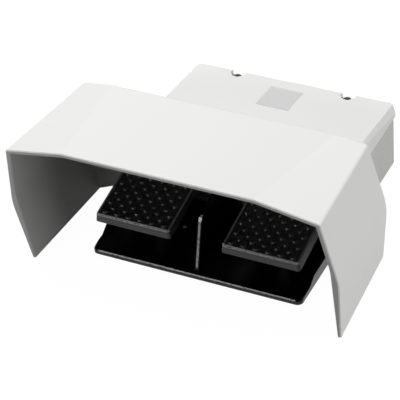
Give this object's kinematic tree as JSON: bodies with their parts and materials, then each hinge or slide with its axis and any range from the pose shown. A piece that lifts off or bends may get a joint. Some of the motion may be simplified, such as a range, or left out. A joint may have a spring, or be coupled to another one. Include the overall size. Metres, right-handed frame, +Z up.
{
  "type": "foot switch",
  "caption": "double pedal industrial foot switch: raked guard hood over two studded pedals with a divider, on a base plate, in front of a low housing with a screwed cover",
  "frame": {"origin": "on the floor, under the centre of the whole switch", "axes": "X to the operator's right across the pedals, Y away from the operator towards the cable entry, Z up"},
  "size_m": [0.3314, 0.3178, 0.162],
  "materials": {
    "black_paint": "textured gloss",
    "pedal_black": "textured gloss",
    "mat_rubber": "matte",
    "rubber": "matte",
    "grey_paint": "fine hammer finish",
    "white_paint": "satin",
    "zinc_steel": "zinc plated",
    "dark_steel": "black oxide",
    "bright_steel": "ground",
    "bronze": "plain",
    "block_plastic": "matte",
    "contact_brass": "plain",
    "gland_metal": "satin",
    "plug_plastic": "matte"
  },
  "bodies": {
    "switch": {"base_plate": "black_paint", "rubber_feet": "rubber", "centre_divider": "black_paint", "divider_screws": "zinc_steel", "housing_body": "grey_paint", "housing_screws": "zinc_steel", "cover_gasket": "rubber", "housing_cover": "white_paint", "cover_screws": "zinc_steel", "guard_hood": "white_paint", "hood_screws": "zinc_steel", "pedal_axle": "bright_steel", "axle_grub_screws": "dark_steel", "left_pedal_spring": "bright_steel", "right_pedal_spring": "bright_steel", "down_stops": "rubber", "rest_stops": "rubber", "left_plunger_boot": "rubber", "right_plunger_boot": "rubber", "plunger_guides": "bronze", "mounting_plate": "zinc_steel", "mounting_plate_screws": "zinc_steel", "left_contact_block": "block_plastic", "right_contact_block": "block_plastic", "left_fixed_contacts": "contact_brass", "right_fixed_contacts": "contact_brass", "terminal_screws": "zinc_steel", "earth_terminal": "bronze", "gland_body": "gland_metal", "gland_seal": "rubber", "gland_nut": "gland_metal", "blanking_plug": "plug_plastic"},
    "left_pedal": {"left_pedal": "pedal_black", "left_pedal_mat": "mat_rubber", "left_pedal_bushes": "bronze"},
    "right_pedal": {"right_pedal": "pedal_black", "right_pedal_mat": "mat_rubber", "right_pedal_bushes": "bronze"},
    "left_plunger": {"left_plunger": "bright_steel", "left_contact_bridge": "contact_brass"},
    "right_plunger": {"right_plunger": "bright_steel", "right_contact_bridge": "contact_brass"}
  },
  "joints": [
    {"name": "left_pedal_press", "type": "hinge", "parent": "switch", "child": "left_pedal", "pos_m": [-0.06655, -0.01707, 0.0443], "axis": [1, 0, 0], "range_deg": [0, 8], "stiffness_Nm_per_rad": 12, "springref_deg": -11.46, "deforming": ["left_pedal_spring"]},
    {"name": "left_plunger_push", "type": "slide", "parent": "switch", "child": "left_plunger", "axis": [0, 1, 0], "range_m": [0, 0.0031], "deforming": ["left_plunger_boot"]},
    {"name": "right_pedal_press", "type": "hinge", "parent": "switch", "child": "right_pedal", "pos_m": [0.06655, -0.01707, 0.0443], "axis": [1, 0, 0], "range_deg": [0, 8], "stiffness_Nm_per_rad": 12, "springref_deg": -11.46, "deforming": ["right_pedal_spring"]},
    {"name": "right_plunger_push", "type": "slide", "parent": "switch", "child": "right_plunger", "axis": [0, 1, 0], "range_m": [0, 0.0031], "deforming": ["right_plunger_boot"]}
  ],
  "couplings": [
    {"joint": "left_plunger_push", "follows": "left_pedal_press", "m_per_rad": 0.022},
    {"joint": "right_plunger_push", "follows": "right_pedal_press", "m_per_rad": 0.022}
  ]
}
